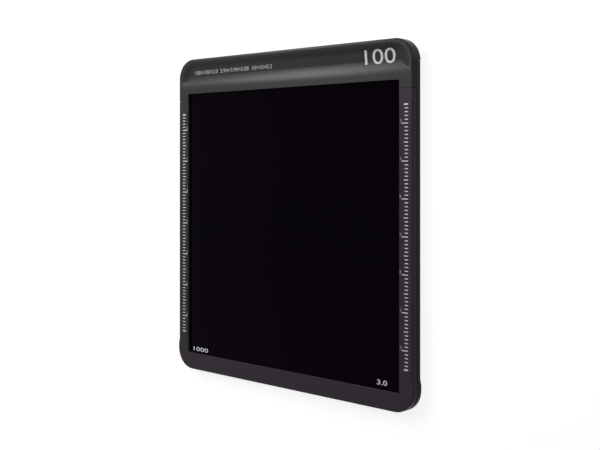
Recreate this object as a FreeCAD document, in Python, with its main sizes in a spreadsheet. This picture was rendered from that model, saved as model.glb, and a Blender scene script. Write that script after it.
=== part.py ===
import FreeCAD, Part

# A square neutral density filter: a dark glass plate held in a thin black aluminium frame.
# The frame is a U of two rails and a bottom bar, milled in one piece, and a cap bar that
# closes it at the top. The glass slides down grooves in the rails, the cap's legs lap over
# two tongues at the rails' upper ends, and four screws go in from the back. Magnets in the
# back of the rails hold the filter to its holder.
#
# The filter lies on its back: +Z comes out of its front, +Y runs to the cap, and the origin
# is in the middle of the back. Millimetres.

import math
import os

import Sketcher
from FreeCAD import Vector

doc = FreeCAD.newDocument("square_filter")

SIZES = [
    ("glass_side", 100.0, "side of the square glass plate"),
    ("glass_depth", 2.0, "thickness of the glass"),
    ("glass_corner", 0.6, "radius of the glass plate's corners"),
    ("glass_arris", 0.2, "ground bevel round the glass plate"),
    ("glass_play", 0.2, "play between the glass plate's edge and its groove"),
    ("lip_cover", 1.5, "how far the frame's lips cover the glass"),
    ("front_lip", 0.9, "thickness of the lip in front of the glass"),
    ("back_lip", 0.8, "thickness of the lip behind the glass"),
    ("tape_depth", 0.3, "thickness of the foam tape behind the glass"),
    ("tape_width", 1.0, "width of the foam tape"),
    ("tape_inset", 0.2, "distance of the foam tape from the window's edge"),
    ("rail_face", 5.0, "width of a rail's front face"),
    ("bottom_bar", 6.0, "height of the bottom bar's front face"),
    ("cap_bar", 13.0, "height of the cap's front face above the window"),
    ("corner_radius", 7.3, "radius of the frame's four corners"),
    ("window_radius", 0.6, "radius of the window's four corners"),
    ("front_round", 0.4, "rounding of the outer edge of the rails and the bottom bar"),
    ("cap_round", 0.75, "rounding of the outer edge of the cap"),
    ("back_layer", 1.6, "thickness of the frame's back layer, and of the tongues"),
    ("back_step", 0.15, "how far the back layer stands out past the rails' sides"),
    ("shoulder_step", 0.4, "how far the two lower corners stand out past the rails"),
    ("shoulder_rise", 10.8, "height of the lower corners above the frame's lower edge"),
    ("shoulder_ramp", 2.0, "length of the slope from a lower corner to its rail"),
    ("cap_step", 0.25, "how far the cap stands out past the rails"),
    ("leg_drop", 2.8, "how far the cap's legs come down beside the window"),
    ("seam_gap", 0.1, "gap between a leg's end and its rail"),
    ("lap_gap", 0.1, "gap round a tongue in the back of the cap"),
    ("pad_reach", 13.0, "length of a screw pad, from the rail's side"),
    ("pad_margin", 3.5, "distance of a screw pad from the top of the cap"),
    ("pad_side", 2.4, "distance of a screw pad's upper half from the side of the cap"),
    ("pad_web", 0.6, "wall between the glass groove and a screw pad"),
    ("screw_diameter", 1.6, "diameter of the cap screws"),
    ("screw_head", 3.0, "diameter of a screw's countersunk head"),
    ("screw_sink", 0.1, "depth of a screw's head below the back"),
    ("screw_length", 2.3, "length of a screw over its head"),
    ("screw_play", 0.05, "play round a screw in its pad"),
    ("screw_key", 0.9, "width over flats of a screw's hexagon socket"),
    ("screw_key_depth", 0.5, "depth of a screw's hexagon socket"),
    ("screw_edge", 1.9, "distance of a screw's middle from the end of its pad"),
    ("magnet_diameter", 2.0, "diameter of the magnets"),
    ("magnet_depth", 2.4, "length of the magnets"),
    ("magnet_play", 0.05, "play round a magnet in its pocket"),
    ("magnet_sink", 0.1, "depth of a magnet's end below the back"),
    ("magnet_edge", 8.6, "distance of the end magnets from the bottom bar and from the seam"),
    ("magnet_count", 8, "number of magnets in each rail"),
    ("rim", 1.7, "distance of the finger scoop's mouth from the cap's sides and top"),
    ("scoop_depth", 1.05, "depth of the finger scoop at the foot of its cove"),
    ("floor_tilt", 6, "slope of the scoop's floor, up to the top of the cap, in degrees"),
    ("wall_slope", 18, "slope of the scoop's walls against its floor, in degrees"),
    ("floor_corner", 3.1, "radius of the upper corners of the scoop's floor"),
    ("scoop_round", 4.0, "rounding at the top and the foot of the scoop's walls"),
    ("cove_start", 6.9, "distance of the cove's foot from the top of the cap"),
    ("cove_run", 4.1, "length of the cove's double curve"),
    ("cove_hollow", 0.56, "share of the cove's double curve that is hollow"),
    ("grip_radius", 0.9, "radius of the grip grooves in the cap's sides"),
    ("grip_depth", 0.4, "depth of a grip groove at its upper end"),
    ("grip_level", 2.6, "height of a grip groove's middle above the back"),
    ("grip_runout", 2.8, "how far a grip groove runs out below the seam"),
]

sheet = doc.addObject("Spreadsheet::Sheet", "Sizes")
for row, (alias, number, meaning) in enumerate(SIZES, start=1):
    sheet.set(f"A{row}", meaning)
    sheet.set(f"B{row}", str(number))
    sheet.setAlias(f"B{row}", alias)
doc.recompute()

# Places that several pieces share, as expressions on the sheet.
thickness = "(Sizes.back_lip + Sizes.tape_depth + Sizes.glass_depth + Sizes.front_lip)"
front_lip_back = f"({thickness} - Sizes.front_lip)"
glass_back = "(Sizes.back_lip + Sizes.tape_depth)"
half_window = "(Sizes.glass_side / 2 - Sizes.lip_cover)"
half_height = f"({half_window} + (Sizes.bottom_bar + Sizes.cap_bar) / 2)"
window_bottom = f"(Sizes.bottom_bar - {half_height})"
window_top = f"({half_height} - Sizes.cap_bar)"
glass_middle = f"({window_bottom} + {half_window})"
groove_side = "(Sizes.glass_side / 2 + Sizes.glass_play)"
groove_top = f"({glass_middle} + {groove_side})"
rail_side = f"({half_window} + Sizes.rail_face)"
cap_side = f"({rail_side} + Sizes.cap_step)"
seam = f"({window_top} - Sizes.leg_drop)"
pad_foot = f"({groove_top} + Sizes.pad_web)"
pad_head = f"({half_height} - Sizes.pad_margin)"
pad_shoulder = f"({half_height} - Sizes.corner_radius)"
pad_inner = f"({rail_side} - Sizes.pad_reach)"
pad_outer = f"({rail_side} - Sizes.pad_side)"
screw_y = f"(({pad_foot} + {pad_head}) / 2)"
magnet_x = f"(({groove_side} + {rail_side}) / 2)"
leg_end = f"({seam} + Sizes.seam_gap)"


def value(text):
    """The number that an expression on the sheet gives."""
    return float(sheet.evalExpression(text))


def bind(thing, **expressions):
    """Tie properties of an object to expressions."""
    for name, text in expressions.items():
        thing.setExpression(name.replace("__", "."), text)


def new_body(label):
    body = doc.addObject("PartDesign::Body", label)
    body.Label = label
    return body


def new_sketch(body, name, level="0", role="XY_Plane"):
    """A sketch on one of the body's own planes, lifted off it by level."""
    plane = next(item for item in body.Origin.OriginFeatures if item.Role == role)
    sketch = body.newObject("Sketcher::SketchObject", name)
    sketch.AttachmentSupport = (plane, [""])
    sketch.MapMode = "FlatFace"
    bind(sketch, AttachmentOffset__Base__z=level)
    return sketch


def pin_point(sketch, geometry, vertex, x, y, name):
    """Hold one end of a line or arc at x, y, both given as expressions."""
    for kind, text in (("DistanceX", x), ("DistanceY", y)):
        label = f"{name}_{kind[-1].lower()}"
        number = sketch.addConstraint(Sketcher.Constraint(kind, -1, 1, geometry, vertex, value(text)))
        sketch.renameConstraint(number, label)
        sketch.setExpression(f"Constraints.{label}", text)


def arc_between(start, end, radius, turn):
    """The short arc from start to end, to the left where turn is 1, to the right where it is -1."""
    chord = end - start
    reach = (radius**2 - (chord.Length / 2) ** 2) ** 0.5
    side = Vector(-chord.y, chord.x, 0).normalize() * turn
    centre = (start + end) * 0.5 + side * reach
    first, last = (start, end) if turn > 0 else (end, start)
    angles = [Vector(1, 0, 0).getAngle(spot - centre) for spot in (first, last)]
    angles = [-angle if (spot - centre).y < 0 else angle for angle, spot in zip(angles, (first, last))]
    return Part.ArcOfCircle(Part.Circle(centre, Vector(0, 0, 1), radius), *angles)


def draw_outline(sketch, steps, name="corner"):
    """Draw a closed outline. Each step goes to x, y, straight or on an arc of radius and turn."""
    ends = [Vector(value(step[0]), value(step[1]), 0) for step in steps]
    first = sketch.GeometryCount
    heads, tails = [], []
    for index, step in enumerate(steps):
        start, end = ends[index - 1], ends[index]
        if len(step) == 2:
            sketch.addGeometry(Part.LineSegment(start, end))
            turn = 1
        else:
            turn = step[3]
            sketch.addGeometry(arc_between(start, end, value(step[2]), turn))
        heads.append(1 if turn > 0 else 2)
        tails.append(2 if turn > 0 else 1)
    for index, step in enumerate(steps):
        after = (index + 1) % len(steps)
        joint = Sketcher.Constraint("Coincident", first + index, tails[index], first + after, heads[after])
        sketch.addConstraint(joint)
        pin_point(sketch, first + index, tails[index], step[0], step[1], f"{name}{index}")
        if len(step) > 2:
            label = f"{name}{index}_radius"
            number = sketch.addConstraint(Sketcher.Constraint("Radius", first + index, value(step[2])))
            sketch.renameConstraint(number, label)
            sketch.setExpression(f"Constraints.{label}", step[2])


def rectangle(left, right, bottom, top):
    return [(left, bottom), (right, bottom), (right, top), (left, top)]


def circles(sketch, places, radius):
    """A circle of one radius at each of the places."""
    for index, (x, y) in enumerate(places):
        ring = Part.Circle(Vector(value(x), value(y), 0), Vector(0, 0, 1), value(radius))
        circle = sketch.addGeometry(ring)
        pin_point(sketch, circle, 3, x, y, f"centre{index}")
        number = sketch.addConstraint(Sketcher.Constraint("Radius", circle, value(radius)))
        sketch.renameConstraint(number, f"radius{index}")
        sketch.setExpression(f"Constraints.radius{index}", radius)


def extrude(body, kind, name, sketch, length, reverse=False):
    """Pad a sketch up or pocket it down by length, or the other way round where reverse is set."""
    feature = body.newObject(f"PartDesign::{kind}", name)
    feature.Profile = sketch
    feature.Reversed = reverse
    bind(feature, Length=length)
    body.Tip = feature
    doc.recompute()
    return feature


def dress(body, kind, name, edges, **sizes):
    """A fillet or chamfer on the edges of the body's last feature that the test picks."""
    base = body.Tip
    names = [f"Edge{number}" for number, edge in enumerate(base.Shape.Edges, start=1) if edges(edge)]
    feature = body.newObject(f"PartDesign::{kind}", name)
    feature.Base = (base, names)
    bind(feature, **sizes)
    body.Tip = feature
    doc.recompute()
    return feature


def mirrored(x, y):
    """A place and its mirror image across the filter's middle plane."""
    return [(x, y), (f"-{x}", y)]


NEAR = 1e-4


def outer_front_edge(edge):
    """True on the front's outer edge, but not round the window, the scoop or along the seam."""
    box = edge.BoundBox
    middle = edge.valueAt((edge.FirstParameter + edge.LastParameter) / 2)
    on_front = box.ZMin > value(thickness) - NEAR
    in_window = abs(middle.x) < value(half_window) + NEAR and middle.y < value(window_top) + NEAR
    in_window = in_window and middle.y > value(window_bottom) - NEAR
    at_seam = box.YLength < NEAR and value(seam) - NEAR < middle.y < value(leg_end) + NEAR
    return on_front and not in_window and not at_seam


# The lower frame is milled from one aluminium plate: two rails and the bottom bar, with a
# groove all round for the glass. Its back layer stands out a hair past the sides, and goes on
# above the seam as two tongues that widen into pads for the cap's screws.
frame_body = new_body("lower_frame")


def frame_sides(grow, upper):
    """The frame's outline, sides moved out by grow. upper is its right half above the seam."""
    side = f"({rail_side} + {grow})"
    shoulder = f"({side} + Sizes.shoulder_step)"
    corner = f"({shoulder} - Sizes.corner_radius)"
    corner_top = f"(Sizes.corner_radius - {half_height})"
    ramp_top = f"(Sizes.shoulder_rise - {half_height})"
    ramp_foot = f"({ramp_top} - Sizes.shoulder_ramp)"
    inner = f"({half_window} - Sizes.window_radius)"
    inner_top = f"({window_bottom} + Sizes.window_radius)"
    right = [
        (corner, f"-{half_height}"),
        (shoulder, corner_top, "Sizes.corner_radius", 1),
        (shoulder, ramp_foot),
        (side, ramp_top),
        *upper,
        (half_window, inner_top),
        (inner, window_bottom, "Sizes.window_radius", -1),
    ]
    left = []
    for index in range(len(right) - 1, -1, -1):
        x, y = right[index][:2]
        # The mirrored half is walked backwards, so an arc is named by the corner it ends at.
        bend = right[index + 1][2:] if index + 1 < len(right) else ()
        left.append((f"-{x}", y, *bend))
    return right + left


front_sketch = new_sketch(frame_body, "front_layer_outline")
draw_outline(front_sketch, frame_sides("0", [(rail_side, seam), (half_window, seam)]))
extrude(frame_body, "Pad", "front_layer", front_sketch, thickness)

tongue_side = f"({rail_side} + Sizes.back_step)"
tongue = [
    (tongue_side, pad_shoulder),
    (pad_outer, pad_shoulder),
    (pad_outer, pad_head),
    (pad_inner, pad_head),
    (pad_inner, pad_foot),
    (half_window, pad_foot),
]
back_sketch = new_sketch(frame_body, "back_layer_outline")
draw_outline(back_sketch, frame_sides("Sizes.back_step", tongue))
extrude(frame_body, "Pad", "back_layer", back_sketch, "Sizes.back_layer")

groove_bottom = f"({glass_middle} - {groove_side})"
groove_depth = f"({front_lip_back} - Sizes.back_lip)"
groove_sketch = new_sketch(frame_body, "glass_groove_outline", front_lip_back)
draw_outline(groove_sketch, rectangle(f"-{groove_side}", groove_side, groove_bottom, groove_top))
extrude(frame_body, "Pocket", "glass_groove", groove_sketch, groove_depth)

magnet_first = f"({window_bottom} + Sizes.magnet_edge)"
magnet_span = f"({seam} - Sizes.magnet_edge - {magnet_first})"
magnet_sketch = new_sketch(frame_body, "magnet_pocket_outline")
circles(magnet_sketch, mirrored(magnet_x, magnet_first), "Sizes.magnet_diameter / 2 + Sizes.magnet_play")
magnet_pocket = extrude(
    frame_body, "Pocket", "magnet_pocket", magnet_sketch, "Sizes.magnet_depth + Sizes.magnet_sink", True
)
magnet_row = frame_body.newObject("PartDesign::LinearPattern", "magnet_pockets")
magnet_row.Originals = [magnet_pocket]
magnet_row.Direction = (magnet_sketch, ["V_Axis"])
bind(magnet_row, Length=magnet_span, Occurrences="Sizes.magnet_count")
frame_body.Tip = magnet_row
doc.recompute()

screw_inner = f"({pad_inner} + Sizes.screw_edge)"
screw_outer = f"({pad_outer} - Sizes.screw_edge)"
screw_places = mirrored(screw_inner, screw_y) + mirrored(screw_outer, screw_y)
screw_sketch = new_sketch(frame_body, "screw_hole_centres")
circles(screw_sketch, screw_places, "Sizes.screw_diameter / 2 + Sizes.screw_play")
doc.recompute()
screw_holes = frame_body.newObject("PartDesign::Hole", "screw_holes")
screw_holes.Profile = screw_sketch
screw_holes.Reversed = True
screw_holes.ThreadType = "None"
screw_holes.HoleCutType = "Countersink"
screw_holes.HoleCutCustomValues = True
screw_holes.HoleCutCountersinkAngle = 90
screw_holes.DrillPoint = "Flat"
bind(
    screw_holes,
    Diameter="Sizes.screw_diameter + 2 * Sizes.screw_play",
    HoleCutDiameter="Sizes.screw_head + 2 * (Sizes.screw_play + Sizes.screw_sink)",
    Depth="Sizes.back_layer",
)
frame_body.Tip = screw_holes
doc.recompute()

dress(frame_body, "Fillet", "front_rounding", outer_front_edge, Radius="Sizes.front_round")


def grip_grooves(body):
    """The body's share of the two grooves that run down the cap's sides and out below the seam."""
    for side, sign in (("left", "-"), ("right", "")):
        ends = []
        for name, level, middle in (
            ("upper", pad_shoulder, f"({cap_side} + Sizes.grip_radius - Sizes.grip_depth)"),
            ("lower", f"({seam} - Sizes.grip_runout)", f"({rail_side} + Sizes.grip_radius)"),
        ):
            sketch = new_sketch(body, f"{side}_grip_{name}_end", f"-{level}", "XZ_Plane")
            circles(sketch, [(f"{sign}{middle}", "Sizes.grip_level")], "Sizes.grip_radius")
            ends.append(sketch)
        groove = body.newObject("PartDesign::SubtractiveLoft", f"{side}_grip_groove")
        groove.Profile = ends[0]
        groove.Sections = [ends[1]]
        body.Tip = groove
        doc.recompute()


grip_grooves(frame_body)

# The cap closes the frame. Its legs lap over the tongues from the front, its underside has
# the top of the glass groove, and its back is pocketed for the screw pads.
cap_body = new_body("cap_blank")

cap_corner = f"({cap_side} - Sizes.corner_radius)"
cap_window = f"({half_window} - Sizes.window_radius)"
cap_outline = [
    (cap_side, leg_end),
    (cap_side, pad_shoulder),
    (cap_corner, half_height, "Sizes.corner_radius", 1),
    (f"-{cap_corner}", half_height),
    (f"-{cap_side}", pad_shoulder, "Sizes.corner_radius", 1),
    (f"-{cap_side}", leg_end),
    (f"-{half_window}", leg_end),
    (f"-{half_window}", f"({window_top} - Sizes.window_radius)"),
    (f"-{cap_window}", window_top, "Sizes.window_radius", -1),
    (cap_window, window_top),
    (half_window, f"({window_top} - Sizes.window_radius)", "Sizes.window_radius", -1),
    (half_window, leg_end),
]
cap_sketch = new_sketch(cap_body, "cap_outline")
draw_outline(cap_sketch, cap_outline)
extrude(cap_body, "Pad", "cap_plate", cap_sketch, thickness)

cap_groove_sketch = new_sketch(cap_body, "cap_groove_outline", front_lip_back)
draw_outline(cap_groove_sketch, rectangle(f"-{groove_side}", groove_side, glass_middle, groove_top))
extrude(cap_body, "Pocket", "cap_groove", cap_groove_sketch, groove_depth)

lap = "Sizes.lap_gap"
outside = f"({cap_side} + Sizes.cap_step)"
right_lap = [
    (f"({half_window} - {lap})", glass_middle),
    (outside, glass_middle),
    (outside, f"({pad_shoulder} + {lap})"),
    (f"({pad_outer} + {lap})", f"({pad_shoulder} + {lap})"),
    (f"({pad_outer} + {lap})", f"({pad_head} + {lap})"),
    (f"({pad_inner} - {lap})", f"({pad_head} + {lap})"),
    (f"({pad_inner} - {lap})", f"({pad_foot} - {lap})"),
    (f"({half_window} - {lap})", f"({pad_foot} - {lap})"),
]
left_lap = [(f"-{x}", y) for x, y in reversed(right_lap)]
lap_sketch = new_sketch(cap_body, "lap_outline")
draw_outline(lap_sketch, right_lap, "right")
draw_outline(lap_sketch, left_lap, "left")
extrude(cap_body, "Pocket", "lap_pockets", lap_sketch, "Sizes.back_layer", True)

thread_sketch = new_sketch(cap_body, "screw_thread_centres")
circles(thread_sketch, screw_places, "Sizes.screw_diameter / 2")
extrude(cap_body, "Pocket", "screw_threads", thread_sketch, "Sizes.screw_sink + Sizes.screw_length", True)

dress(cap_body, "Fillet", "cap_rounding", outer_front_edge, Radius="Sizes.cap_round")
grip_grooves(cap_body)

# The finger scoop in the cap's front, made first as the plug that would fill it: a floor that
# rises towards the top, walls that flow into it and into the front, and a cove below that
# sweeps up in a double curve to the strip above the window.
scoop_body = new_body("scoop")

# The cove's two arcs share one sum of radii, which gives them a level foot and a level end.
cove_foot = f"({half_height} - Sizes.cove_start)"
cove_end = f"({cove_foot} - Sizes.cove_run)"
cove_radii = "((Sizes.cove_run ^ 2 + Sizes.scoop_depth ^ 2) / (2 * Sizes.scoop_depth))"
hollow_radius = f"({cove_radii} * Sizes.cove_hollow)"
crown_radius = f"({cove_radii} * (1 - Sizes.cove_hollow))"
scoop_foot = f"({thickness} - Sizes.scoop_depth)"
bend_y = f"({cove_foot} - Sizes.cove_run * Sizes.cove_hollow)"
bend_z = f"({scoop_foot} + Sizes.scoop_depth * Sizes.cove_hollow)"

# The floor starts where the hollow arc, carried on past its foot, has the floor's slope.
tilt = "(Sizes.floor_tilt * 1 deg)"
floor_y = f"({cove_foot} + {hollow_radius} * sin({tilt}))"
floor_z = f"({scoop_foot} + {hollow_radius} * (1 - cos({tilt})))"
floor_depth = f"({thickness} - {floor_z})"
wall_rise = "tan(Sizes.wall_slope * 1 deg)"
top_wall_rise = f"tan(Sizes.wall_slope * 1 deg + {tilt})"
scoop_top = (
    f"((({half_height} - Sizes.rim - {floor_y}) * {top_wall_rise} - {floor_depth})"
    f" / ({top_wall_rise} - tan({tilt})))"
)
top_depth = f"({floor_depth} - {scoop_top} * tan({tilt}))"
top_side = f"({cap_side} - Sizes.rim - {top_depth} / {wall_rise})"

# The floor narrows downwards, which keeps the mouth parallel to the cap's sides.
lean = f"atan(tan({tilt}) / {wall_rise})"
scoop_low = f"({cove_end} - Sizes.rim - {floor_y})"
low_side = f"({top_side} - ({scoop_top} - {scoop_low}) * tan({lean}))"
corner_cut = f"(Sizes.floor_corner * tan(45 deg + {lean} / 2))"
corner_x = f"({top_side} - {corner_cut} * sin({lean}))"
corner_y = f"({scoop_top} - {corner_cut} * cos({lean}))"
plug_outline = [
    (f"-{low_side}", scoop_low),
    (low_side, scoop_low),
    (corner_x, corner_y),
    (f"({top_side} - {corner_cut})", scoop_top, "Sizes.floor_corner", 1),
    (f"-({top_side} - {corner_cut})", scoop_top),
    (f"-{corner_x}", corner_y, "Sizes.floor_corner", 1),
]
plug_sketch = new_sketch(scoop_body, "scoop_plug_outline", floor_z)
plug_sketch.AttachmentOffset = FreeCAD.Placement(Vector(), FreeCAD.Rotation(Vector(1, 0, 0), 1))
bind(plug_sketch, AttachmentOffset__Base__y=floor_y, AttachmentOffset__Base__z=floor_z)
bind(plug_sketch, AttachmentOffset__Rotation__Angle=tilt)
draw_outline(plug_sketch, plug_outline)
plug = extrude(scoop_body, "Pad", "scoop_plug", plug_sketch, "2 * Sizes.scoop_depth")
bind(plug, TaperAngle="90 - Sizes.wall_slope")
doc.recompute()

margin = "(3 * Sizes.scoop_depth)"
level_side = f"({cap_side} + {margin})"
level_low = f"({cove_end} - 3 * {margin})"
level_high = f"({half_height} + {margin})"
level_sketch = new_sketch(scoop_body, "front_level_outline", thickness)
draw_outline(level_sketch, rectangle(f"-{level_side}", level_side, level_low, level_high))
extrude(scoop_body, "Pad", "front_level", level_sketch, margin)

end_sketch = new_sketch(scoop_body, "scoop_end_outline", f"{thickness} + {margin}")
draw_outline(end_sketch, rectangle(f"-{level_side}", level_side, level_low, f"({cove_end} - Sizes.rim)"))
extrude(scoop_body, "Pocket", "scoop_end", end_sketch, f"2 * {margin}")


def on_scoop_floor(point):
    """True on the sloping floor of the scoop."""
    away = (point.y - value(floor_y)) * math.tan(math.radians(value("Sizes.floor_tilt")))
    return abs(point.z - value(floor_z) - away) < NEAR


def scoop_floor_edge(edge):
    """True on the three sides of the floor that have walls."""
    ends_on_floor = all(on_scoop_floor(end.Point) for end in edge.Vertexes)
    return ends_on_floor and edge.BoundBox.YMax > value(cove_end)


def scoop_mouth_edge(edge):
    """True where those three walls meet the front."""
    box = edge.BoundBox
    on_front = box.ZMin > value(thickness) - NEAR and box.ZMax < value(thickness) + NEAR
    at_walls = value(cove_end) < box.YMax < value(half_height)
    return on_front and at_walls and -value(cap_side) < box.XMin and box.XMax < value(cap_side)


dress(scoop_body, "Fillet", "floor_rounding", scoop_floor_edge, Radius="Sizes.scoop_round")
dress(scoop_body, "Fillet", "mouth_rounding", scoop_mouth_edge, Radius="Sizes.scoop_round")

cove_sketch = new_sketch(scoop_body, "cove_outline", f"-{level_side}", "YZ_Plane")
under_plug = f"({scoop_foot} - {margin})"
cove_profile = [
    (level_low, under_plug),
    (floor_y, under_plug),
    (floor_y, floor_z),
    (bend_y, bend_z, hollow_radius, -1),
    (cove_end, thickness, crown_radius, 1),
    (level_low, thickness),
]
draw_outline(cove_sketch, cove_profile)
extrude(scoop_body, "Pocket", "cove", cove_sketch, f"2 * {level_side}", True)

top_cap = doc.addObject("Part::Cut", "top_cap")
top_cap.Base = cap_body
top_cap.Tool = scoop_body

# The glass plate, with its corners eased and its edges ground.
glass_body = new_body("filter_glass")
glass_sketch = new_sketch(glass_body, "glass_outline", glass_back)
half_glass = "(Sizes.glass_side / 2)"
glass_low = f"({glass_middle} - {half_glass})"
glass_high = f"({glass_middle} + {half_glass})"
glass_rectangle = rectangle(f"-{half_glass}", half_glass, glass_low, glass_high)
draw_outline(glass_sketch, glass_rectangle)
extrude(glass_body, "Pad", "glass_plate", glass_sketch, "Sizes.glass_depth")


def upright_edge(edge):
    """True on an edge that runs through the plate."""
    return edge.BoundBox.ZLength > NEAR


def face_edge(edge):
    """True on an edge that lies in one of the plate's faces."""
    return edge.BoundBox.ZLength < NEAR


dress(glass_body, "Fillet", "glass_corners", upright_edge, Radius="Sizes.glass_corner")
dress(glass_body, "Chamfer", "glass_edges", face_edge, Size="Sizes.glass_arris")


def new_block(label, left, right, bottom, top, low, depth):
    """A plain block from left to right and bottom to top, lying on the level low."""
    block = doc.addObject("Part::Box", label)
    bind(block, Length=f"{right} - {left}", Width=f"{top} - {bottom}", Height=depth)
    bind(block, Placement__Base__x=left, Placement__Base__y=bottom, Placement__Base__z=low)
    return block


# Four strips of black foam tape lie on the back lip and press the glass against the front lip.
tape_near = f"({half_window} + Sizes.tape_inset)"
tape_far = f"({tape_near} + Sizes.tape_width)"
tape_low = f"({window_bottom} - Sizes.tape_inset - Sizes.tape_width)"
tape_high = f"({window_top} + Sizes.tape_inset + Sizes.tape_width)"
tape_end = f"({half_window} - Sizes.lap_gap)"
tapes = [
    new_block(label, left, right, bottom, top, "Sizes.back_lip", "Sizes.tape_depth")
    for label, left, right, bottom, top in (
        ("tape_left", f"-{tape_far}", f"-{tape_near}", tape_low, tape_high),
        ("tape_right", tape_near, tape_far, tape_low, tape_high),
        ("tape_bottom", f"-{tape_end}", tape_end, tape_low, f"({tape_low} + Sizes.tape_width)"),
        ("tape_top", f"-{tape_end}", tape_end, f"({tape_high} - Sizes.tape_width)", tape_high),
    )
]

# Disc magnets sit at the ends of their pockets in the back of the rails.
magnets = []
for side, sign in (("left", "-"), ("right", "")):
    for index in range(int(value("Sizes.magnet_count"))):
        magnet = doc.addObject("Part::Cylinder", f"magnet_{side}_{index + 1}")
        bind(magnet, Radius="Sizes.magnet_diameter / 2", Height="Sizes.magnet_depth")
        bind(
            magnet,
            Placement__Base__x=f"{sign}{magnet_x}",
            Placement__Base__y=f"{magnet_first} + {magnet_span} * {index} / (Sizes.magnet_count - 1)",
            Placement__Base__z="Sizes.magnet_sink",
        )
        magnets.append(magnet)


def new_screw(name, x, y):
    """A countersunk screw, head down, with a hexagon socket in the head."""
    head_depth = "(Sizes.screw_head - Sizes.screw_diameter) / 2"
    head = doc.addObject("Part::Cone", f"{name}_head")
    bind(head, Radius1="Sizes.screw_head / 2", Radius2="Sizes.screw_diameter / 2", Height=head_depth)
    shank = doc.addObject("Part::Cylinder", f"{name}_shank")
    bind(shank, Radius="Sizes.screw_diameter / 2", Height="Sizes.screw_length")
    socket = doc.addObject("Part::Prism", f"{name}_socket")
    socket.Polygon = 6
    bind(socket, Circumradius="Sizes.screw_key / sqrt(3)", Height="Sizes.screw_key_depth")
    for piece in (head, shank, socket):
        bind(piece, Placement__Base__x=x, Placement__Base__y=y, Placement__Base__z="Sizes.screw_sink")
    solid = doc.addObject("Part::Fuse", f"{name}_solid")
    solid.Base = head
    solid.Tool = shank
    screw = doc.addObject("Part::Cut", name)
    screw.Base = solid
    screw.Tool = socket
    return screw


# Four small screws hold the cap's floor down on the pads, two at each end.
cap_screws = doc.addObject("Part::Compound", "cap_screws")
cap_screws.Links = [new_screw(f"screw_{index + 1}", x, y) for index, (x, y) in enumerate(screw_places)]

pieces = [frame_body, top_cap, glass_body, *tapes, *magnets, cap_screws]
doc.recompute()

for thing in doc.Objects:
    if "Invalid" in thing.State or "Error" in thing.State:
        raise RuntimeError(f"{thing.Label} failed: {thing.State}")
os.makedirs("parts", exist_ok=True)
for piece in pieces:
    if piece.Shape.isNull() or not piece.Shape.isValid():
        raise RuntimeError(f"{piece.Label} has no sound shape")
for piece in pieces:
    piece.Shape.exportStep(f"parts/{piece.Label}.step")
    box = piece.Shape.BoundBox
    size = f"{box.XLength:.2f} x {box.YLength:.2f} x {box.ZLength:.2f}"
    print(f"{piece.Label}: {len(piece.Shape.Solids)} solid, {piece.Shape.Volume:.1f} mm3, {size} mm")
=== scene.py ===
from math import cos, radians, sin

import bmesh
import bpy
from mathutils import Euler, Matrix, Quaternion, Vector
from mathutils.bvhtree import BVHTree


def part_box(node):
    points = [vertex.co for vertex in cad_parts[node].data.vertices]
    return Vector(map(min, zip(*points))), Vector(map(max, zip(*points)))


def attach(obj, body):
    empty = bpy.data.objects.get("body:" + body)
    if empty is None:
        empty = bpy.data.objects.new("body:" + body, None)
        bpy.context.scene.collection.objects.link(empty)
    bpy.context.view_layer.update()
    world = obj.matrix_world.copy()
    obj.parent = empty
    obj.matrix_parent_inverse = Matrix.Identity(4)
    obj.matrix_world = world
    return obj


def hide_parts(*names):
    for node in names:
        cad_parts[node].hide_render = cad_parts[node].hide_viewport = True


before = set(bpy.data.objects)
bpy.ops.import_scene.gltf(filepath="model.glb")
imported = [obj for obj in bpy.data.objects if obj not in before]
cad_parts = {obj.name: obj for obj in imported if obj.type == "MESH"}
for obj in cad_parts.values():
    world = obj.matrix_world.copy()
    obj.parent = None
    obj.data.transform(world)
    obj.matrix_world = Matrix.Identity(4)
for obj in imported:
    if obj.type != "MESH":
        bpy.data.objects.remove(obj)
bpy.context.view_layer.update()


# The filter glass: a square plate of nearly opaque neutral density glass. Both faces are polished and
# carry a hard antireflective coating. The coating's faint violet reflection is painted into the glass's
# colour as a painted reflection, deeper towards the foot. It sits in the frame's groove, and plain
# numbers are printed in the two lower corners of its front.
def add_node(tree, kind, inputs=(), **settings):
    """Adds a node, with its settings and with a value or a linked socket for each input."""
    made = tree.nodes.new(kind)
    for name, value in settings.items():
        setattr(made, name, value)
    for name, value in dict(inputs).items():
        if isinstance(value, bpy.types.NodeSocket):
            tree.links.new(value, made.inputs[name])
        else:
            made.inputs[name].default_value = value
    return made


def new_finish(name):
    """A new material with an empty node tree."""
    finish = bpy.data.materials.new(name)
    finish.use_nodes = True
    finish.node_tree.nodes.clear()
    return finish, finish.node_tree


def close_finish(tree, inputs):
    """Ends a material in one Principled shader with these inputs."""
    shader = add_node(tree, "ShaderNodeBsdfPrincipled", inputs)
    add_node(tree, "ShaderNodeOutputMaterial", {"Surface": shader.outputs[0]})


def object_noise(tree, per_metre, detail=2.0, roughness=0.5):
    """A noise pattern that stays on the piece, with so many cells to the metre."""
    place = add_node(tree, "ShaderNodeTexCoord").outputs["Object"]
    settings = {"Vector": place, "Scale": per_metre, "Detail": detail, "Roughness": roughness}
    return add_node(tree, "ShaderNodeTexNoise", settings).outputs["Fac"]


def between(tree, mask, low, high):
    """A value that runs from low to high as the mask runs over the middle of its range."""
    span = {"Value": mask, "From Min": 0.15, "From Max": 0.85, "To Min": low, "To Max": high}
    return add_node(tree, "ShaderNodeMapRange", span, interpolation_type="SMOOTHSTEP").outputs["Result"]


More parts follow.
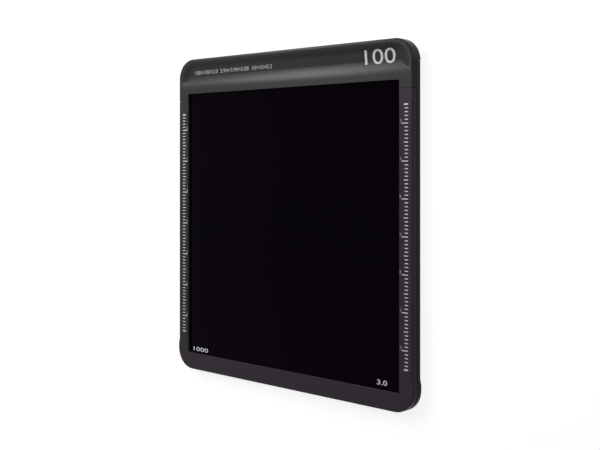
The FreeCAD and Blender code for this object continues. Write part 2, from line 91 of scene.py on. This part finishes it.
def blend_colour(tree, mask, first, second):
    """A colour between two, by the mask."""
    mix = add_node(tree, "ShaderNodeMix", data_type="RGBA")
    tree.links.new(mask, mix.inputs["Factor"])
    mix.inputs["A"].default_value = (*first, 1)
    mix.inputs["B"].default_value = (*second, 1)
    return mix.outputs["Result"]


def dress(node, finish):
    """Gives a node of the frame its finish."""
    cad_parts[node].data.materials.clear()
    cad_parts[node].data.materials.append(finish)


coated_glass, tree = new_finish("coated_glass")
place = add_node(tree, "ShaderNodeTexCoord").outputs["Object"]
height = add_node(tree, "ShaderNodeSeparateXYZ", {"Vector": place}).outputs["Y"]
# The violet is a painted reflection of the coating, mixed into the base colour and deeper towards the
# foot.
top_to_foot = {"Value": height, "From Min": 0.05, "From Max": -0.05}
painted_violet_reflection = add_node(tree, "ShaderNodeMapRange", top_to_foot).outputs["Result"]
close_finish(tree, {
    "Base Color": blend_colour(tree, painted_violet_reflection, (0.0004, 0.0003, 0.0007), (0.0007, 0.0001, 0.0020)),
    "Roughness": between(tree, object_noise(tree, per_metre=30), 0.02, 0.04),
    "Specular IOR Level": 0.02,
    "Specular Tint": (1.0, 0.45, 1.0, 1),
})
dress("filter_glass", coated_glass)

mm = 0.001
ink_depth = 0.004 * mm


def ink(name, thin, full):
    """A flat screen-printing ink that covers unevenly, between two greys."""
    finish, tree = new_finish(name)
    coverage = object_noise(tree, per_metre=9000, detail=3.0)
    cool = 1.03
    close_finish(tree, {
        "Base Color": blend_colour(tree, coverage,
                                   (thin, thin, thin * cool), (full, full, full * cool)),
        "Roughness": between(tree, coverage, 0.5, 0.7),
        "Specular IOR Level": 0.3,
    })
    return finish


white_ink = ink("white_ink", thin=0.33, full=0.46)


def printed(words, width, height, weight=0.0):
    """The mesh of a line of print, in a thin layer of ink, as wide and as high as asked."""
    line = bpy.data.curves.new("line", "FONT")
    line.body = words
    line.size = height
    line.offset = weight
    line.extrude = ink_depth
    line.resolution_u = 6
    holder = bpy.data.objects.new("line", line)
    bpy.context.scene.collection.objects.link(holder)
    evaluated = holder.evaluated_get(bpy.context.evaluated_depsgraph_get())
    mesh = bpy.data.meshes.new_from_object(evaluated)
    bpy.data.objects.remove(holder)
    low = Vector([min(spot.co[axis] for spot in mesh.vertices) for axis in range(3)])
    high = Vector([max(spot.co[axis] for spot in mesh.vertices) for axis in range(3)])
    mesh.transform(Matrix.Translation((-low.x, -low.y, 0)))
    mesh.transform(Matrix.Diagonal((width / (high.x - low.x), height / (high.y - low.y), 1, 1)))
    return mesh


def joined(name, meshes, finish):
    """One piece on the filter's body, made of several meshes in place."""
    shell = bmesh.new()
    for mesh in meshes:
        shell.from_mesh(mesh)
    bmesh.ops.remove_doubles(shell, verts=shell.verts, dist=0.0002 * mm)
    bmesh.ops.recalc_face_normals(shell, faces=shell.faces)
    together = bpy.data.meshes.new(name)
    shell.to_mesh(together)
    shell.free()
    together.materials.append(finish)
    piece = bpy.data.objects.new(name, together)
    bpy.context.scene.collection.objects.link(piece)
    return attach(piece, "root")


def placed(mesh, x, y, z):
    """The mesh moved to its place."""
    mesh.transform(Matrix.Translation((x, y, z)))
    return mesh


def laid_on(carrier, mesh):
    """The mesh, cut fine and let down onto the front of the piece that carries it."""
    surface = bmesh.new()
    surface.from_mesh(carrier.data)
    tree = BVHTree.FromBMesh(surface)
    surface.free()
    print_shell = bmesh.new()
    print_shell.from_mesh(mesh)
    cut_step = 0.3 * mm
    for axis in (0, 1):
        way = Vector([float(axis == part) for part in range(3)])
        first = min(spot.co[axis] for spot in print_shell.verts)
        last = max(spot.co[axis] for spot in print_shell.verts)
        for number in range(1, int((last - first) / cut_step) + 1):
            whole = [*print_shell.verts, *print_shell.edges, *print_shell.faces]
            bmesh.ops.bisect_plane(print_shell, geom=whole,
                                   plane_co=way * (first + number * cut_step), plane_no=way)
    well_above = 50 * mm
    down = Vector((0, 0, -1))
    for spot in print_shell.verts:
        ground = tree.ray_cast(Vector((spot.co.x, spot.co.y, well_above)), down)[0]
        spot.co.z += ground.z
    print_shell.to_mesh(mesh)
    print_shell.free()
    return mesh


glass_low, glass_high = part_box("filter_glass")
lip_cover = 1.5 * mm
window_left = glass_low.x + lip_cover
window_right = glass_high.x - lip_cover
window_foot = glass_low.y + lip_cover
bolder = 0.02 * mm
joined("glass_numbers", [
    placed(printed("1000", width=7.9 * mm, height=1.5 * mm, weight=bolder),
           x=window_left + 2.1 * mm, y=window_foot + 0.83 * mm, z=glass_high.z),
    placed(printed("3.0", width=4.0 * mm, height=1.65 * mm, weight=bolder),
           x=window_right - 9.2 * mm, y=window_foot + 1.38 * mm, z=glass_high.z),
], white_ink)


# The lower frame: a U of two rails and a bottom bar, milled from one aluminium plate, with its edges
# broken. It is bead-blasted and then anodised black, which leaves a fine satin grain with a faint
# violet cast.
def bead_blast_group():
    """The fine grain of a blasted and anodised surface."""
    group = bpy.data.node_groups.new("bead_blast", "ShaderNodeTree")
    for name, start in (("Scale", 7000.0), ("Relief", 0.2)):
        socket = group.interface.new_socket(name, in_out="INPUT", socket_type="NodeSocketFloat")
        socket.default_value = start
    for name in ("Grain", "Height"):
        group.interface.new_socket(name, in_out="OUTPUT", socket_type="NodeSocketFloat")
    given = group.nodes.new("NodeGroupInput").outputs
    place = add_node(group, "ShaderNodeTexCoord").outputs["Object"]
    grain = add_node(group, "ShaderNodeTexNoise",
                     {"Vector": place, "Scale": given["Scale"], "Detail": 2.0, "Roughness": 0.7})
    height = add_node(group, "ShaderNodeMath", {0: grain.outputs["Fac"], 1: given["Relief"]},
                      operation="MULTIPLY")
    ends = group.nodes.new("NodeGroupOutput")
    group.links.new(grain.outputs["Fac"], ends.inputs["Grain"])
    group.links.new(height.outputs["Value"], ends.inputs["Height"])
    return group


bead_blast = bead_blast_group()


def blasted_finish(name, dark, light, smooth, rough, level, relief=0.2):
    """A blasted finish whose grain runs between two tones and two roughnesses."""
    finish, tree = new_finish(name)
    blast = add_node(tree, "ShaderNodeGroup", node_tree=bead_blast)
    blast.inputs["Relief"].default_value = relief
    bump = add_node(tree, "ShaderNodeBump",
                    {"Height": blast.outputs["Height"], "Distance": 0.01 * mm, "Strength": 1.0})
    close_finish(tree, {
        "Base Color": blend_colour(tree, blast.outputs["Grain"], dark, light),
        "Roughness": between(tree, blast.outputs["Grain"], smooth, rough),
        "Specular IOR Level": level,
        "Normal": bump.outputs["Normal"],
    })
    return finish


def machined(name, node, finish, edge_break):
    """A node's shape in the node's place, with its sharp edges broken and its own smooth shading."""
    shell = bmesh.new()
    shell.from_mesh(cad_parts[node].data)
    bmesh.ops.remove_doubles(shell, verts=shell.verts, dist=0.001 * mm)
    bmesh.ops.dissolve_limit(shell, angle_limit=radians(0.05), verts=shell.verts, edges=shell.edges)
    mesh = bpy.data.meshes.new(name)
    shell.to_mesh(mesh)
    shell.free()
    mesh.shade_smooth()
    blank = bpy.data.objects.new(name + "_blank", mesh)
    bpy.context.scene.collection.objects.link(blank)
    bevel = blank.modifiers.new("edge_break", "BEVEL")
    bevel.width = edge_break
    bevel.segments = 2
    bevel.limit_method = "ANGLE"
    bevel.angle_limit = radians(50)
    bevel.use_clamp_overlap = False
    shading = blank.modifiers.new("shading", "WEIGHTED_NORMAL")
    shading.mode = "FACE_AREA_WITH_ANGLE"
    shading.weight = 50
    evaluated = blank.evaluated_get(bpy.context.evaluated_depsgraph_get())
    finished = bpy.data.meshes.new_from_object(evaluated)
    finished.name = name
    bpy.data.objects.remove(blank)
    finished.materials.clear()
    finished.materials.append(finish)
    piece = bpy.data.objects.new(name, finished)
    bpy.context.scene.collection.objects.link(piece)
    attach(piece, "root")
    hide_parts(node)
    return piece


rail_black = blasted_finish("rail_black",
                            dark=(0.0252, 0.0206, 0.0260), light=(0.0292, 0.0240, 0.0300),
                            smooth=0.26, rough=0.28, level=0.036)
machined("frame_rails", "lower_frame", rail_black, edge_break=0.05 * mm)


# The rail scales: two ladders of fine white lines, screen-printed down the rails, which show how far
# the filter is slid in its holder. Every fifth line is longer and every tenth longest, with a small
# number beside it. The print lies a little to the right of the filter's middle.
def scale_tree():
    """The nodes that lay out one scale, from the middle line both ways."""
    tree = bpy.data.node_groups.new("rail_scale", "GeometryNodeTree")
    tree.interface.new_socket("Geometry", in_out="OUTPUT", socket_type="NodeSocketGeometry")
    for name in ("Pitch", "Short", "Middle", "Long", "Width", "End Width", "Ink", "Side"):
        tree.interface.new_socket(name, in_out="INPUT", socket_type="NodeSocketFloat")
    tree.interface.new_socket("Half Count", in_out="INPUT", socket_type="NodeSocketInt")
    tree.interface.new_socket("Place", in_out="INPUT", socket_type="NodeSocketVector")
    tree.interface.new_socket("Print", in_out="INPUT", socket_type="NodeSocketMaterial")
    given = tree.nodes.new("NodeGroupInput").outputs

    def math(operation, first, second=0.0):
        return add_node(tree, "ShaderNodeMath", {0: first, 1: second}, operation=operation).outputs[0]

    def choose(condition, otherwise, chosen):
        inputs = {"Switch": condition, "False": otherwise, "True": chosen}
        return add_node(tree, "GeometryNodeSwitch", inputs, input_type="FLOAT").outputs[0]

    half = given["Half Count"]
    index = add_node(tree, "GeometryNodeInputIndex").outputs[0]
    number = math("ABSOLUTE", math("SUBTRACT", index, half))
    is_fifth = math("LESS_THAN", math("MODULO", number, 5.0), 0.5)
    is_tenth = math("LESS_THAN", math("MODULO", number, 10.0), 0.5)
    is_end = math("GREATER_THAN", number, math("SUBTRACT", half, 0.5))
    length = choose(is_tenth, choose(is_fifth, given["Short"], given["Middle"]), given["Long"])
    width = choose(is_end, given["Width"], given["End Width"])
    inward = math("MULTIPLY", math("MULTIPLY", length, -0.5), given["Side"])
    along = math("MULTIPLY", math("MULTIPLY", half, given["Pitch"]), -1.0)
    count = math("ADD", math("MULTIPLY", half, 2.0), 1.0)
    step = add_node(tree, "ShaderNodeCombineXYZ", {"Y": given["Pitch"]}).outputs[0]
    start = add_node(tree, "ShaderNodeCombineXYZ", {"Y": along}).outputs[0]
    first_line = add_node(tree, "ShaderNodeVectorMath", {0: given["Place"], 1: start}, operation="ADD")
    ladder = add_node(tree, "GeometryNodeMeshLine",
                      {"Count": count, "Start Location": first_line.outputs[0], "Offset": step})
    shift = add_node(tree, "ShaderNodeCombineXYZ", {"X": inward}).outputs[0]
    lined = add_node(tree, "GeometryNodeSetPosition",
                     {"Geometry": ladder.outputs["Mesh"], "Offset": shift})
    block = add_node(tree, "GeometryNodeMeshCube", {"Size": (1.0, 1.0, 1.0)})
    size = add_node(tree, "ShaderNodeCombineXYZ", {"X": length, "Y": width, "Z": given["Ink"]})
    lines = add_node(tree, "GeometryNodeInstanceOnPoints", {
        "Points": lined.outputs["Geometry"], "Instance": block.outputs["Mesh"],
        "Scale": size.outputs[0]})
    solid = add_node(tree, "GeometryNodeRealizeInstances", {"Geometry": lines.outputs[0]})
    inked = add_node(tree, "GeometryNodeSetMaterial",
                     {"Geometry": solid.outputs[0], "Material": given["Print"]})
    ends = tree.nodes.new("NodeGroupOutput")
    tree.links.new(inked.outputs[0], ends.inputs["Geometry"])
    return tree


def set_inputs(modifier, values):
    """Sets a modifier's inputs by their names."""
    for item in modifier.node_group.interface.items_tree:
        if item.in_out == "INPUT" and item.name in values:
            modifier[item.identifier] = values[item.name]


rail_scale = scale_tree()
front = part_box("lower_frame")[1].z
glass_middle = (glass_low.y + glass_high.y) / 2
scale_pitch = 1.165 * mm
for side, hand, edge, inset in (("left", -1.0, window_left, 2.92 * mm),
                                ("right", 1.0, window_right, 3.38 * mm)):
    blank = bpy.data.objects.new("scale_blank", bpy.data.meshes.new("scale_blank"))
    bpy.context.scene.collection.objects.link(blank)
    lines = blank.modifiers.new("lines", "NODES")
    lines.node_group = rail_scale
    set_inputs(lines, {
        "Pitch": scale_pitch, "Short": 1.3 * mm, "Middle": 1.6 * mm, "Long": 2.4 * mm,
        "Width": 0.32 * mm, "End Width": 0.5 * mm, "Ink": 2 * ink_depth, "Side": hand,
        "Half Count": 35, "Print": white_ink,
        "Place": (edge + hand * inset, glass_middle, front),
    })
    bpy.context.view_layer.update()
    evaluated = blank.evaluated_get(bpy.context.evaluated_depsgraph_get())
    ladder = bpy.data.meshes.new_from_object(evaluated)
    ladder.name = f"scale_{side}"
    bpy.data.objects.remove(blank)
    piece = bpy.data.objects.new(f"scale_{side}", ladder)
    bpy.context.scene.collection.objects.link(piece)
    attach(piece, "root")

faint_ink = ink("faint_ink", thin=0.14, full=0.22)
numeral_inset = 0.28 * mm
numeral_rise = 0.3 * mm
numerals = []
for hand, edge in ((-1, window_left), (1, window_right)):
    for tenth in range(-3, 4):
        width = (0.38 if abs(tenth) == 1 else 0.62) * mm
        numeral = printed(str(abs(tenth)), width, height=0.95 * mm)
        start = edge + hand * numeral_inset - (width if hand < 0 else 0)
        foot = glass_middle + tenth * 10 * scale_pitch + numeral_rise
        numerals.append(placed(numeral, start, foot, front))
joined("scale_numerals", numerals, faint_ink)


# The foam tapes: four thin strips of closed-cell black foam, stuck to the back lip. They press the
# glass against the front lip, so that it can't rattle in its groove.
foam, tree = new_finish("black_foam")
place = add_node(tree, "ShaderNodeTexCoord").outputs["Object"]
cells = add_node(tree, "ShaderNodeTexVoronoi", {"Vector": place, "Scale": 6000.0}).outputs["Distance"]
pores = add_node(tree, "ShaderNodeBump", {"Height": cells, "Distance": 0.05 * mm, "Strength": 0.8})
close_finish(tree, {
    "Base Color": blend_colour(tree, cells, (0.008, 0.008, 0.008), (0.02, 0.02, 0.02)),
    "Roughness": between(tree, cells, 0.85, 0.95),
    "Specular IOR Level": 0.2,
    "Normal": pores.outputs["Normal"],
})
for side in ("left", "right", "bottom", "top"):
    dress(f"tape_{side}", foam)


# The magnets: sixteen small nickel-plated discs, pressed and glued into the back of the rails, which
# snap the filter to its holder. The plating is bright, and faintly mottled by handling.
nickel, tree = new_finish("bright_nickel")
wear = object_noise(tree, per_metre=2500, detail=4.0, roughness=0.65)
plate_bump = add_node(tree, "ShaderNodeBump", {"Height": wear, "Distance": 0.004 * mm, "Strength": 0.6})
close_finish(tree, {
    "Base Color": blend_colour(tree, wear, (0.50, 0.49, 0.46), (0.66, 0.65, 0.61)),
    "Metallic": 1.0,
    "Roughness": between(tree, wear, 0.18, 0.34),
    "Normal": plate_bump.outputs["Normal"],
})
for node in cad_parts:
    if node.startswith("magnet_"):
        dress(node, nickel)


# The top cap: the bar that closes the frame over the glass. It is milled from the same plate stock
# and blasted like the frame, in a neutral black, and its front is scooped out for a finger. The size
# is printed on the floor of the scoop in plain numbers, one large and a fine line of small ones.
cap_black = blasted_finish("cap_black",
                           dark=(0.0220, 0.0216, 0.0218), light=(0.0268, 0.0264, 0.0266),
                           smooth=0.26, rough=0.28, level=0.036)
grip_cap = machined("grip_cap", "top_cap", cap_black, edge_break=0.05 * mm)

cap_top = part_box("top_cap")[1].y
large_number = printed("100", width=12.0 * mm, height=4.7 * mm)
joined("cap_large_number", [
    laid_on(grip_cap, placed(large_number, x=34.5 * mm, y=cap_top - 7.6 * mm, z=0)),
], white_ink)
cap_ink = ink("cap_ink", thin=0.22, full=0.33)
small_numbers = printed("100×100×2.0  3.94×3.94×0.08  10×10×0.2",
                        width=39.2 * mm, height=1.45 * mm)
joined("cap_small_numbers", [
    laid_on(grip_cap, placed(small_numbers, x=-45.3 * mm, y=cap_top - 5.95 * mm, z=0)),
], cap_ink)


# The cap screws: four small countersunk screws of black steel, driven from the back through the
# frame's tongues into the cap.
oxide = blasted_finish("black_oxide", dark=(0.012, 0.012, 0.013), light=(0.02, 0.02, 0.021),
                       smooth=0.28, rough=0.4, level=0.5, relief=0.1)
dress("cap_screws", oxide)


# The table: a white floor that keeps the filter's soft shadow, under a faint even sky. Two slanting
# key lamps and a small one stand beyond the cap on its left, a broad weak one beyond it, and a low
# weak one on the camera's side. None of them stands where the glass would mirror it to the camera.
def white_for_sight(tree):
    """One where a ray comes from the camera, a reflection or a see-through piece, zero elsewhere."""
    ray = add_node(tree, "ShaderNodeLightPath").outputs
    first = add_node(tree, "ShaderNodeMath", {0: ray["Is Camera Ray"], 1: ray["Is Glossy Ray"]},
                     operation="MAXIMUM").outputs[0]
    return add_node(tree, "ShaderNodeMath", {0: first, 1: ray["Is Transmission Ray"]},
                    operation="MAXIMUM").outputs[0]


def mixed(tree, mask, otherwise, chosen):
    """The second shader where the mask is one, and the first elsewhere."""
    mix = add_node(tree, "ShaderNodeMixShader", {"Fac": mask})
    tree.links.new(otherwise.outputs[0], mix.inputs[1])
    tree.links.new(chosen.outputs[0], mix.inputs[2])
    return mix


table_white, tree = new_finish("table_white")
plain = add_node(tree, "ShaderNodeBsdfDiffuse", {"Color": (0.8, 0.8, 0.8, 1)})
shade = add_node(tree, "ShaderNodeBsdfDiffuse", {"Color": (0.16, 0.16, 0.16, 1)})
glow = add_node(tree, "ShaderNodeEmission", {"Color": (1, 1, 1, 1), "Strength": 0.87})
shown = add_node(tree, "ShaderNodeAddShader", {0: shade.outputs[0], 1: glow.outputs[0]})
seen = mixed(tree, white_for_sight(tree), plain, shown)
add_node(tree, "ShaderNodeOutputMaterial", {"Surface": seen.outputs[0]})

bpy.ops.mesh.primitive_plane_add(size=6.0)
table = bpy.context.object
table.name = "table"
table.data.materials.append(table_white)

world = bpy.context.scene.world or bpy.data.worlds.new("sky")
bpy.context.scene.world = world
world.use_nodes = True
world.node_tree.nodes.clear()
tree = world.node_tree
sky = add_node(tree, "ShaderNodeBackground", {"Color": (1, 1, 1, 1), "Strength": 0.04})
backdrop = add_node(tree, "ShaderNodeBackground", {"Color": (1, 1, 1, 1), "Strength": 1.0})
seen = mixed(tree, white_for_sight(tree), sky, backdrop)
add_node(tree, "ShaderNodeOutputWorld", {"Surface": seen.outputs[0]})


def soft_lamp(name, bearing, rise, width, height, lean, power):
    """A rectangular lamp at a bearing and a rise in degrees, turned to the filter and leaning aside."""
    reach = 0.45
    aim = Vector((0, 0.02, 0))
    away = Vector((cos(radians(rise)) * cos(radians(bearing)),
                   cos(radians(rise)) * sin(radians(bearing)), sin(radians(rise))))
    lamp = bpy.data.lights.new(name, "AREA")
    lamp.shape = "RECTANGLE"
    lamp.size = width
    lamp.size_y = height
    lamp.energy = power
    holder = bpy.data.objects.new(name, lamp)
    holder.location = aim + away * reach
    turn = (-away).to_track_quat("-Z", "Y") @ Quaternion((0, 0, 1), radians(lean))
    holder.rotation_euler = turn.to_euler()
    bpy.context.scene.collection.objects.link(holder)


soft_lamp("low_key_lamp", bearing=133, rise=30, width=0.06, height=0.28, lean=-30, power=1.56)
soft_lamp("high_key_lamp", bearing=143, rise=38, width=0.06, height=0.28, lean=-30, power=1.08)
soft_lamp("left_lamp", bearing=158, rise=52, width=0.05, height=0.20, lean=15, power=0.52)
soft_lamp("far_fill_lamp", bearing=90, rise=50, width=0.40, height=0.40, lean=0, power=0.74)
soft_lamp("side_fill_lamp", bearing=30, rise=18, width=0.20, height=0.20, lean=0, power=0.62)

camera = bpy.data.cameras.new("camera")
camera.sensor_width = 36.0
camera.lens = 56.7
camera.shift_y = -0.105
camera.clip_start = 0.01
viewer = bpy.data.objects.new("camera", camera)
viewer.location = (0.2187, 0.0195, 0.2424)
viewer.rotation_euler = Euler((0.0, radians(41.51), 0.0))
bpy.context.scene.collection.objects.link(viewer)
bpy.context.scene.camera = viewer
bpy.context.scene.view_settings.view_transform = "Standard"
